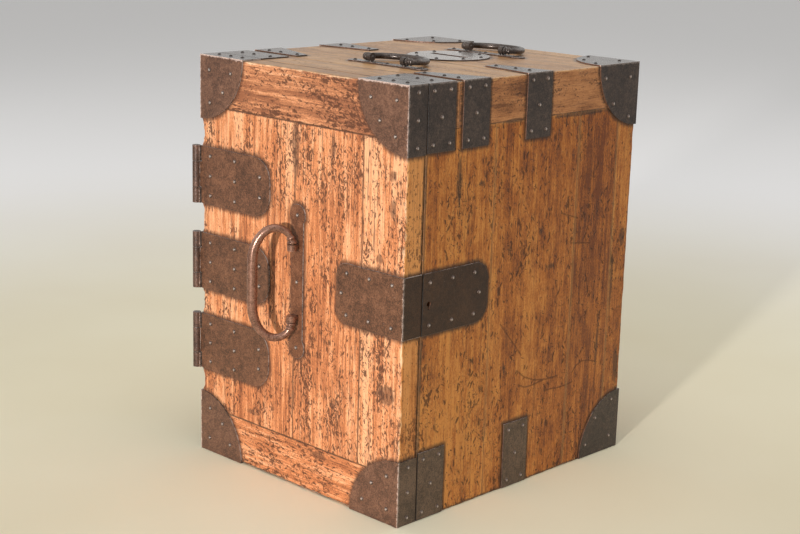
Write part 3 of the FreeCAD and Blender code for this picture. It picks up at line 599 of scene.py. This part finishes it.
# Scratches on the right side, as lines of (across, up) places in mm
SIDE_SCRATCHES = [
    ((131, 167), (148, 148), (164, 130)), ((158, 116), (170, 107), (185, 101), (203, 98), (221, 98)),
    ((161, 101), (170, 97), (180, 96), (199, 98)), ((203, 87), (225, 85), (245, 86)),
    ((244, 96), (250, 102), (258, 105), (270, 104), (282, 100)), ((233, 230), (262, 226)),
    ((214, 262), (240, 254)),
]
# How deep under a face a point still counts as on it
SKIN = 3*MM


def marks_on(points):
    """How dirty each point of a board is, with painted shade along the right side's foot, from the lists of
    marks.
    """
    dirt_and_shade = np.zeros(len(points))
    on_front = points[:, 1] < FRONT_Y + SKIN
    on_right = points[:, 0] > RIGHT_X - SKIN
    for spots, here, across in (
        (DOOR_MARKS, on_front, points[:, 0] - LEFT_X),
        (SIDE_MARKS_AND_FOOT_SHADE, on_right, points[:, 1] - FRONT_Y),
    ):
        for side, up, half_side, half_up, strength in spots:
            far = ((across - side*MM)/(half_side*MM))**2 + ((points[:, 2] - up*MM)/(half_up*MM))**2
            dirt_and_shade = np.maximum(dirt_and_shade, np.where(here, strength*np.exp(-far), 0))
    return dirt_and_shade


def scratches_on(points):
    """How deep each point of the right side is scratched, from the lines of scratches."""
    across, up = (points[:, 1] - FRONT_Y)/MM, points[:, 2]/MM
    nearest = np.full(len(points), 100.0)
    for line in SIDE_SCRATCHES:
        for (y0, z0), (y1, z1) in zip(line, line[1:]):
            run = (y1 - y0)**2 + (z1 - z0)**2
            share = np.clip(((across - y0)*(y1 - y0) + (up - z0)*(z1 - z0))/run, 0, 1)
            away = np.hypot(across - y0 - share*(y1 - y0), up - z0 - share*(z1 - z0))
            nearest = np.minimum(nearest, away)
    return np.where(points[:, 0] > RIGHT_X - SKIN, np.exp(-nearest**2), 0)


PLATES = [
    name for name in nodes
    if "strap" in name or "corner_iron" in name or "_leaf" in name or name.endswith("_plate")
]


def tree_of(names):
    """Search tree over the faces of some CAD nodes."""
    corners, faces = [], []
    for name in names:
        start = len(corners)
        mesh = nodes[name].data
        corners += [v.co.copy() for v in mesh.vertices]
        faces += [[start + index for index in face.vertices] for face in mesh.polygons]
    return BVHTree.FromPolygons(corners, faces)


plate_trees = {
    body: tree_of([name for name in PLATES if body_of_node[name] == body]) for body in ("door", "case")
}


def mesh_of(shape, name):
    """A mesh from a shape, which is used up."""
    mesh = bpy.data.meshes.new(name)
    shape.to_mesh(mesh)
    shape.free()
    return mesh


def add_piece(name, mesh, node):
    """Puts a mesh in the scene in place of a CAD node, on that node's body."""
    piece = bpy.data.objects.new(name, mesh)
    bpy.context.scene.collection.objects.link(piece)
    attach(piece, body_of_node[node])
    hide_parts(node)


def cut_through(mesh, cutter):
    """The mesh with a tool shape taken out of it."""
    base = bpy.data.objects.new("base", mesh)
    tool = bpy.data.objects.new("tool", cutter)
    for item in (base, tool):
        bpy.context.scene.collection.objects.link(item)
    modifier = base.modifiers.new("cut", "BOOLEAN")
    modifier.operation = "DIFFERENCE"
    modifier.solver = "EXACT"
    modifier.object = tool
    graph = bpy.context.evaluated_depsgraph_get()
    result = bpy.data.meshes.new_from_object(base.evaluated_get(graph))
    bpy.data.objects.remove(base)
    bpy.data.objects.remove(tool)
    return result


def block(low, high):
    """A plain box, used only to cut with."""
    shape = bmesh.new()
    bmesh.ops.create_cube(shape, size=1.0)
    for vertex in shape.verts:
        vertex.co = Vector([low[i] + (vertex.co[i] + 0.5)*(high[i] - low[i]) for i in range(3)])
    return mesh_of(shape, "block")


def rod(start, end, radius):
    """A round bar between two points, used only to cut with."""
    shape = bmesh.new()
    length = (end - start).length
    bmesh.ops.create_cone(
        shape, cap_ends=True, segments=32, radius1=radius, radius2=radius, depth=length,
    )
    turn = (end - start).to_track_quat("Z", "Y").to_matrix().to_4x4()
    bmesh.ops.transform(shape, matrix=Matrix.Translation((start + end)/2) @ turn, verts=shape.verts)
    return mesh_of(shape, "rod")


def set_attribute(mesh, name, values, kind="FLOAT", field="value"):
    """Gives the mesh's points a value each, under a name."""
    layer = mesh.attributes.new(name, kind, "POINT")
    layer.data.foreach_set(field, np.ascontiguousarray(values, dtype=np.float32).ravel())


def coordinates(mesh):
    """The places of a mesh's points, one to a row."""
    points = np.empty(len(mesh.vertices)*3)
    mesh.vertices.foreach_get("co", points)
    return points.reshape(-1, 3)


# Order of a board's paints: its faces, its ends across x, its inner side and its top
FACE, END, INNER, UPPER = range(4)
# How far from an iron its dirt and painted shade can reach
REACH = 30*MM


def board_paint(normal, inner_axis, inner_sign):
    """Which of a board's paints a face takes, from the way it looks."""
    if normal[inner_axis]*inner_sign > 0.9:
        return INNER
    if normal.z > 0.75:
        return UPPER
    return END if abs(normal.x) > 0.75 else FACE


def edge_distance(points, low, high):
    """How far each point of a box's faces is from the nearest edge: its second least distance from a face."""
    return np.sort(np.minimum(points - low, high - points), axis=1)[:, 1]


def worn_board(node, slot, paints, grain, inside, worn, seed, cutter=None, step=5*MM, shade=0.0, scuff=0.4):
    """A board with rounded, uneven edges, and what its wood asks of each point.

    grain is the axis it runs along and inside the side that looks into the box; shade and scuff may be
    functions of the points.
    """
    low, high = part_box(node)
    mesh = mesh_of(board_grid(low, high, step), node + "_worn")
    points = round_edges(coordinates(mesh), low, high, worn, seed*100)
    mesh.vertices.foreach_set("co", points.ravel())
    if cutter is not None:
        mesh = cut_through(mesh, cutter)
        mesh.name = node + "_worn"
        points = coordinates(mesh)
    mesh.materials.clear()
    for paint in paints:
        mesh.materials.append(paint)
    inner_axis, inner_sign = "xyz".index(inside[0]), 1 if inside[1] == "+" else -1
    for face in mesh.polygons:
        face.use_smooth = True
        face.material_index = board_paint(face.normal, inner_axis, inner_sign)

    along = "xyz".index(grain)
    order = (along, 3 - along - inner_axis, inner_axis)
    dice = random.Random(seed)
    shift = np.array([dice.uniform(0, 3) for _ in range(3)])
    set_attribute(mesh, "grain", points[:, order] + shift, "FLOAT_VECTOR", "vector")
    tree = plate_trees[body_of_node[node]]
    near = [tree.find_nearest(Vector(point), REACH)[3] for point in points]
    set_attribute(mesh, "iron_near", [REACH if far is None else far for far in near])
    edge_near = edge_distance(points, np.array(low), np.array(high))
    rim_near = edge_distance(points, BOX_LOW, BOX_HIGH)
    set_attribute(mesh, "seam_near", np.where(rim_near < edge_near + 1*MM, REACH, np.maximum(edge_near, 0)))
    set_attribute(mesh, "rim_near", np.maximum(rim_near, 0))
    set_attribute(mesh, "stain_and_shade", marks_on(points))
    set_attribute(mesh, "scratch", scratches_on(points))
    for name, value in (("shade", shade), ("scuff", scuff)):
        set_attribute(mesh, name, value(points) if callable(value) else np.full(len(points), value))
    add_piece(mesh.name, mesh, node)


# Levels of the irons that cover the door's hinge edge
left_irons = [
    (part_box(name)[0].z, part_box(name)[1].z) for name in PLATES
    if body_of_node[name] == "door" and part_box(name)[0].x < LEFT_X + 2*MM
]


def left_edge(level):
    """Wear of the door's hinge edge: deep between the irons, slight under them."""
    clear = np.full(len(level), 1.0)
    for low, high in left_irons:
        gap = np.maximum(low - level, level - high)
        clear = np.minimum(clear, np.clip(gap/(5*MM), 0, 1))
    return (1 + 5*clear)*MM


def near_level(base, change, level, spread):
    """A board's shade or scuffing that changes near some height."""
    return lambda points: base + change*np.exp(-((points[:, 2] - level)/spread)**2)


door_paints = (door_wood, edge_wood, raw_wood, top_wood)
rail_paints = (rail_wood, edge_wood, raw_wood, top_wood)
case_paints = (case_wood, case_wood, raw_wood, top_wood)
top_paints = (top_wood, end_wood, raw_wood, top_wood)

# Boards of the door, and the size of the squares where the wear is seen best
FINE = 2.5*MM
hinge_wear = {"x- y-": (left_edge, 4*MM, 50*MM)}
lock_wear = {"x+ y-": (2.2*MM, 3*MM, 30*MM)}
rail_wear = {**hinge_wear, **lock_wear}
DOOR_BOARDS = {
    "door_left_board": {
        "paints": door_paints, "grain": "z", "worn": hinge_wear,
        "shade": near_level(0.2, -0.6, 75*MM, 45*MM), "scuff": 0.35,
    },
    "door_middle_board": {
        "paints": door_paints, "grain": "z", "worn": {},
        "shade": -0.2, "scuff": near_level(0.6, 0.2, 80*MM, 60*MM),
    },
    "door_right_board": {
        "paints": door_paints, "grain": "z", "worn": lock_wear,
        "shade": near_level(0.65, -0.5, 90*MM, 60*MM), "scuff": near_level(0.55, 0.6, 80*MM, 80*MM),
    },
    "door_top_rail": {
        "paints": rail_paints, "grain": "x", "worn": {**rail_wear, "y- z+": (2.4*MM, 3*MM, 30*MM)},
        "shade": -0.6, "scuff": 0.6,
    },
    "door_bottom_rail": {
        "paints": door_paints, "grain": "x", "worn": {**rail_wear, "y- z-": (2.4*MM, 4*MM, 50*MM)},
        "shade": -0.1, "scuff": 0.6,
    },
}
for seed, (name, look) in enumerate(DOOR_BOARDS.items(), start=11):
    worn_board(name, "door_wood", inside="y+", seed=seed, step=FINE, **look)

# Boards of the case
keyway = rod(KEY - KEY_IN, KEY + KEY_OUT, KEY_RADIUS)
coin_slot = block(SLOT - SLOT_HALF, SLOT + SLOT_HALF)
foot_wear = {"x+ z-": (2.0*MM, 4*MM, 60*MM), "x- z-": (2.0*MM, 4*MM, 60*MM)}
top_wear = {
    "x+ z+": (1.6*MM, 4*MM, 50*MM), "x- z+": (1.6*MM, 4*MM, 50*MM),
    "y- z+": (2.4*MM, 10*MM, 80*MM), "y+ z+": (1.2*MM, 10*MM, 80*MM),
}
back_wear = {pair: (2.2*MM, 4*MM, 60*MM) for pair in ("x- y+", "x+ y+", "y+ z+", "y+ z-")}
RIGHT_BOARDS = {
    "front": {"step": FINE, "shade": near_level(0.1, 0.8, 60*MM, 70*MM), "cutter": keyway},
    "middle": {"step": FINE/2, "shade": -0.1},
    "rear": {"step": FINE/2, "shade": -0.7},
}
for seed, (name, look) in enumerate(RIGHT_BOARDS.items(), start=20):
    slot_cutter = coin_slot if name == "rear" else None
    worn_board(f"right_side_{name}_board", "case_wood", case_paints, "z", "x-", foot_wear, seed, **look)
    worn_board(f"left_side_{name}_board", "case_wood", case_paints, "z", "x+", foot_wear, seed + 10)
    worn_board(f"top_{name}_board", "top_wood", top_paints, "x", "z-", top_wear, seed + 20, slot_cutter)
# The back panel is painted lighter along its top edge: worn, and a painted highlight
worn_board(
    "back_panel", "case_wood", case_paints, "z", "y-", back_wear, 50,
    shade=near_level(-0.1, 1.2, TOP_Z, 6*MM),
)
worn_board("bottom_board", "case_wood", case_paints, "y", "z+", {}, 51)


# Order of a plate's paints: rusty front, dark sides, grey top, edges, edges with a painted highlight, gaps in
# painted shade, hinge barrels
P_FRONT, P_SIDE, P_TOP, P_EDGE, P_HIGHLIGHT, P_GAP_SHADE, P_BARREL = range(7)
# Width of a plate's rubbed edges, and how near the middle of a small hole its edges stay sharp
RUBBED = 0.4*MM
HOLE_ROOM = 7*MM
# Angles between a plate's faces: most if they are one, least if their edge is rubbed, most if it looks smooth
FLAT, SHARP, SMOOTH = math.radians(1.0), math.radians(40), math.radians(16)


def plate_paint(face, on_door):
    """Which of a plate's paints a face takes, from where it is and the way it looks."""
    normal, centre = face.normal, face.calc_center_median()
    # Faces in the gap between door and case take painted shade
    behind_door = on_door and normal.y > 0.2 and centre.y > DOOR_BACK - 1*MM
    before_case = not on_door and normal.y < -0.2 and abs(centre.y - CASE_FRONT) < 1*MM
    if behind_door or before_case:
        return P_GAP_SHADE
    # Painted highlight on the door plates' faces and edges that face the lock, and on edges that face up
    to_the_lock = on_door and normal.x > 0.4
    if face.material_index == P_EDGE:
        return P_HIGHLIGHT if normal.z > 0.5 or to_the_lock else P_EDGE
    if math.hypot(centre.x - HINGE.x, centre.y - HINGE.y) < BARREL + 0.2*MM:
        return P_BARREL
    if normal.z > 0.7:
        return P_TOP
    if to_the_lock and centre.x < RIGHT_X - 5*MM:
        return P_HIGHLIGHT
    return P_SIDE if normal.y > -0.7 else P_FRONT


def worn_plate(node, slot, front=front_iron, side=side_iron, top=top_iron, hole=None):
    """A CAD plate with its sharp edges rubbed round, apart from those of a small hole."""
    shape = bmesh.new()
    shape.from_mesh(nodes[node].data)
    bmesh.ops.remove_doubles(shape, verts=shape.verts, dist=PLATE_MERGE)
    bmesh.ops.dissolve_limit(shape, angle_limit=FLAT, verts=shape.verts, edges=shape.edges)
    for face in shape.faces:
        face.material_index = P_FRONT
    sharp = [
        edge for edge in shape.edges
        if len(edge.link_faces) == 2 and edge.calc_face_angle() > SHARP
        and (hole is None or (edge.verts[0].co - hole).length > HOLE_ROOM)
    ]
    bmesh.ops.bevel(
        shape, geom=sharp, offset=RUBBED, segments=2, profile=0.5, affect="EDGES", clamp_overlap=True,
        material=P_EDGE,
    )
    for face in shape.faces:
        face.smooth = True
        face.material_index = plate_paint(face, body_of_node[node] == "door")
    for edge in shape.edges:
        edge.smooth = len(edge.link_faces) == 2 and edge.calc_face_angle() < SMOOTH
    mesh = mesh_of(shape, node + "_worn")
    for paint in (front, side, top, edge_iron, painted_highlight_edge, gap_shade_iron, hinge_iron):
        mesh.materials.append(paint)
    add_piece(mesh.name, mesh, node)


# Plates with another iron than most
other_iron = {
    "front_handle_plate": {"front": pull_iron},
    "coin_slot_plate": {"top": coin_sheen_iron},
    "lock_side_plate": {"side": lock_plate_iron, "hole": KEY},
    "door_lock_plate": {"front": lock_front_iron, "side": lock_plate_iron},
}
for level in ("high", "middle", "low"):
    other_iron[f"hinge_{level}_door_leaf"] = {"front": leaf_iron}
# Low straps and bottom corner irons take the paler side iron with painted floor light
for side in ("left", "right"):
    for name in (f"{side}_low_front_strap", f"{side}_low_second_strap", f"door_corner_iron_bottom_{side}"):
        other_iron[name] = {"side": floor_lit_low_iron}
for name in PLATES:
    worn_plate(name, "plate_iron", **other_iron.get(name, {}))


def tube(name, centres, radii, sides=28):
    """A smooth closed bar along some points, with its own radius at each."""
    shape = bmesh.new()
    rings = []
    side = None
    for index, (centre, radius) in enumerate(zip(centres, radii)):
        before, after = centres[max(index - 1, 0)], centres[min(index + 1, len(centres) - 1)]
        ahead = (after - before).normalized()
        if side is None:
            side = ahead.orthogonal().normalized()
        side = (side - ahead*side.dot(ahead)).normalized()
        other = ahead.cross(side)
        ring = []
        for step in range(sides):
            turn = 2*math.pi*step/sides
            ring.append(shape.verts.new(centre + (side*math.cos(turn) + other*math.sin(turn))*radius))
        rings.append(ring)
    for ring, following in zip(rings, rings[1:]):
        for step in range(sides):
            after = (step + 1) % sides
            shape.faces.new((ring[step], ring[after], following[after], following[step]))
    shape.faces.new(reversed(rings[0]))
    shape.faces.new(rings[-1])
    for face in shape.faces:
        face.smooth = True
    return mesh_of(shape, name)


# Steps along a bail's pin, its hook, its sweep and half of its grip, and the parts that each is split in
PIN_STEPS, HOOK_STEPS, SWEEP_STEPS, GRIP_STEPS = 8, 16, 32, 12
PARTS = 4
# Ring mouldings past the eye: place and width in bar radii, and rise as a share of the bar
MOULDINGS = ((0.5, 0.5, 0.55), (1.9, 0.45, 0.4))


def bail_line(start, hook, bend, sweep, pin):
    """Half of a bail in its own plane: (reach, height) places from the pin's tip to the grip's middle."""
    knee = start + hook - sweep
    places = [(0.0, start - pin + pin*step/PIN_STEPS) for step in range(PIN_STEPS + 1)]
    for step in range(1, HOOK_STEPS + 1):
        turn = math.pi/2*step/HOOK_STEPS
        places.append((hook - hook*math.cos(turn), start + hook*math.sin(turn)))
    for step in range(1, SWEEP_STEPS + 1):
        turn = math.pi/2*step/SWEEP_STEPS
        places.append((hook + bend*math.sin(turn), knee + sweep*math.cos(turn)))
    places += [(hook + bend, knee*(1 - step/GRIP_STEPS)) for step in range(1, GRIP_STEPS + 1)]
    return places


def bail_radius(run, length, pin_radius, end, middle):
    """Radius after running some way past the eye: pin, two ring mouldings, then a taper to the grip."""
    if run < 0:
        return pin_radius
    share = min(1.0, run/length)
    bar = end + (middle - end)*math.sin(share*math.pi/2)**1.3
    for place, width, rise in MOULDINGS:
        away = (run/end - place)/width
        if abs(away) < 1:
            bar = max(bar, end*(1 + rise*math.sqrt(1 - away*away)))
    return bar


def bail(node, paint, axis, outward, spacing, eye_length, eye_gap, pin, hook, bend, sweep, end, middle):
    """A round bar bent to a C, thickest at the grip, with ring mouldings where it meets its eyes.

    It is placed by the joint that it swings on; pin, end and middle are radii.
    """
    pivot = Vector(joints[node + "_swing"]["pos_m"])
    start = spacing/2 + eye_length/2 + eye_gap
    pin_length = eye_length + eye_gap
    half = bail_line(start, hook, bend, sweep, pin_length)
    fine = []
    for (r0, h0), (r1, h1) in zip(half, half[1:]):
        fine += [(r0 + (r1 - r0)*t/PARTS, h0 + (h1 - h0)*t/PARTS) for t in range(PARTS)]
    fine.append(half[-1])
    run, runs = -pin_length, []
    for index, (reach, height) in enumerate(fine):
        if index:
            run += math.hypot(reach - fine[index - 1][0], height - fine[index - 1][1])
        runs.append(run)
    radii = [bail_radius(value, runs[-1], pin, end, middle) for value in runs]
    whole = fine + [(reach, -height) for reach, height in reversed(fine[:-1])]
    radii = radii + list(reversed(radii[:-1]))
    centres = [pivot + outward*reach + axis*height for reach, height in whole]
    mesh = tube(node + "_forged", centres, radii)
    mesh.materials.append(paint)
    add_piece(mesh.name, mesh, node)


# The door's bail stands off the door at rest, and the top bails lie almost level
FRONT_REST = math.radians(50)
TOP_SAG = math.radians(2.8)
bail(
    "front_bail", handle_iron, Vector((0, 0, 1)), Vector((-math.cos(FRONT_REST), -math.sin(FRONT_REST), 0)),
    spacing=68*MM, eye_length=6*MM, eye_gap=0.4*MM, pin=2*MM, hook=15*MM, bend=21.5*MM, sweep=32*MM,
    end=3.1*MM, middle=4.9*MM,
)
for name in ("top_front_bail", "top_rear_bail"):
    bail(
        name, dark_handle_iron, Vector((1, 0, 0)), Vector((0, math.cos(TOP_SAG), -math.sin(TOP_SAG))),
        spacing=44*MM, eye_length=5*MM, eye_gap=0.4*MM, pin=1.6*MM, hook=8*MM, bend=27*MM, sweep=27*MM,
        end=2.6*MM, middle=3.2*MM,
    )

# CAD nodes that stay as they are, with their finish
KEPT = {
    "door_nails": door_nail_iron, "case_nails": case_nail_iron, "front_handle_posts": handle_iron,
    "top_handle_posts": dark_handle_iron, "hinge_pins": lock_iron, "lock_case": lock_iron,
    "lock_bolt": lock_iron, "door_staple": lock_iron,
}
for name, paint in KEPT.items():
    nodes[name].data.materials.clear()
    nodes[name].data.materials.append(paint)


def floor():
    """A pale floor, cream near the box and paler far away, where it is the background."""
    half = 14.0
    cream_to, pale_from = 0.45, 1.7
    p = Paint("floor_paint")
    place = p.place()
    soft = p.noise(place, scale=2.2, detail=3.0)
    near = p.ramp(soft, (0.35, linear(249, 239, 208)), (0.65, linear(254, 246, 218)))
    length = p.nodes.new("ShaderNodeVectorMath")
    length.operation = "LENGTH"
    p.feed(length.inputs[0], place)
    away = p.span(length.outputs["Value"], cream_to, pale_from)
    colour = p.mix(away, near, linear(226, 225, 224))
    p.finish(colour, 0.85, specular=0.2)
    rays = p.nodes.new("ShaderNodeLightPath")
    p.feed(p.shader.inputs["Emission Color"], linear(228, 227, 226))
    glow = p.maths("MULTIPLY", p.maths("MULTIPLY", rays.outputs["Is Camera Ray"], away), 0.38)
    p.feed(p.shader.inputs["Emission Strength"], glow)
    mesh = bpy.data.meshes.new("floor")
    corners = [(-half, -half, 0), (half, -half, 0), (half, half, 0), (-half, half, 0)]
    mesh.from_pydata(corners, [], [(0, 1, 2, 3)])
    mesh.materials.append(p.material)
    piece = bpy.data.objects.new("floor", mesh)
    bpy.context.scene.collection.objects.link(piece)


def away_from_box(azimuth, elevation):
    """Direction from the box, in degrees round from the door towards the lock's side, and up."""
    turn, rise = math.radians(azimuth), math.radians(elevation)
    return Vector((math.sin(turn)*math.cos(rise), -math.cos(turn)*math.cos(rise), math.sin(rise)))


def lamp(name, azimuth, elevation, distance, size, level, colour=(1, 1, 1), beam=180):
    """A soft square light aimed at the middle of the box.

    With a full beam, level 1 lights a facing white wall to white. A narrower beam is brighter.
    """
    aim = Vector((0, 0, 0.2))
    way = away_from_box(azimuth, elevation)
    data = bpy.data.lights.new(name, "AREA")
    data.size = size
    data.energy = level*(math.pi*distance)**2
    data.color = colour
    data.spread = math.radians(beam)
    item = bpy.data.objects.new(name, data)
    item.location = aim + way*distance
    item.rotation_euler = (-way).to_track_quat("-Z", "Y").to_euler()
    bpy.context.scene.collection.objects.link(item)


def surroundings():
    """Pale surroundings: dim as a light, pale where they are seen or reflected."""
    as_light, as_seen = 0.18, 0.75
    world = bpy.data.worlds.new("surroundings")
    bpy.context.scene.world = world
    world.use_nodes = True
    links = world.node_tree.links
    back = world.node_tree.nodes["Background"]
    back.inputs["Color"].default_value = (1.0, 0.985, 0.96, 1.0)
    rays = world.node_tree.nodes.new("ShaderNodeLightPath")
    seen = world.node_tree.nodes.new("ShaderNodeMath")
    seen.operation = "MAXIMUM"
    links.new(rays.outputs["Is Camera Ray"], seen.inputs[0])
    links.new(rays.outputs["Is Glossy Ray"], seen.inputs[1])
    level = world.node_tree.nodes.new("ShaderNodeMapRange")
    level.inputs["To Min"].default_value = as_light
    level.inputs["To Max"].default_value = as_seen
    links.new(seen.outputs["Value"], level.inputs["Value"])
    links.new(level.outputs["Result"], back.inputs["Strength"])


# Width and focal length of the photograph in pixels, and where its camera stood
PHOTO_WIDTH = 800
FOCAL_PIXELS = 1593
SENSOR_MM = 36.0
CAMERA_PLACE = (1.065, -1.1277, 0.573)
CAMERA_AZIMUTH, CAMERA_ELEVATION, CAMERA_ROLL = 43.96, 13.87, 1.60


def camera():
    """The photograph's viewpoint: to the right of the door, a little above, slightly rolled."""
    back = away_from_box(CAMERA_AZIMUTH, CAMERA_ELEVATION)
    roll = math.radians(CAMERA_ROLL)
    level = (-back).cross(Vector((0, 0, 1))).normalized()
    upright = level.cross(-back)
    right = level*math.cos(roll) + upright*math.sin(roll)
    up = upright*math.cos(roll) - level*math.sin(roll)
    data = bpy.data.cameras.new("camera")
    data.sensor_width = SENSOR_MM
    data.lens = FOCAL_PIXELS/PHOTO_WIDTH*SENSOR_MM
    data.clip_end = 60.0
    item = bpy.data.objects.new("camera", data)
    turn = Matrix((right, up, back)).transposed().to_4x4()
    item.matrix_world = Matrix.Translation(CAMERA_PLACE) @ turn
    bpy.context.scene.collection.objects.link(item)
    bpy.context.scene.camera = item


floor()
lamp(
    "key", azimuth=19.5, elevation=7, distance=6.0, size=0.32, level=0.0287, colour=(1.0, 0.97, 0.94),
    beam=32,
)
lamp("overhead", azimuth=40, elevation=80, distance=2.6, size=2.2, level=0.4)
lamp("left_fill", azimuth=-75, elevation=25, distance=2.8, size=1.6, level=0.12)
lamp("back_fill", azimuth=170, elevation=35, distance=2.8, size=1.6, level=0.15)
surroundings()
camera()
bpy.context.scene.view_settings.view_transform = "Standard"
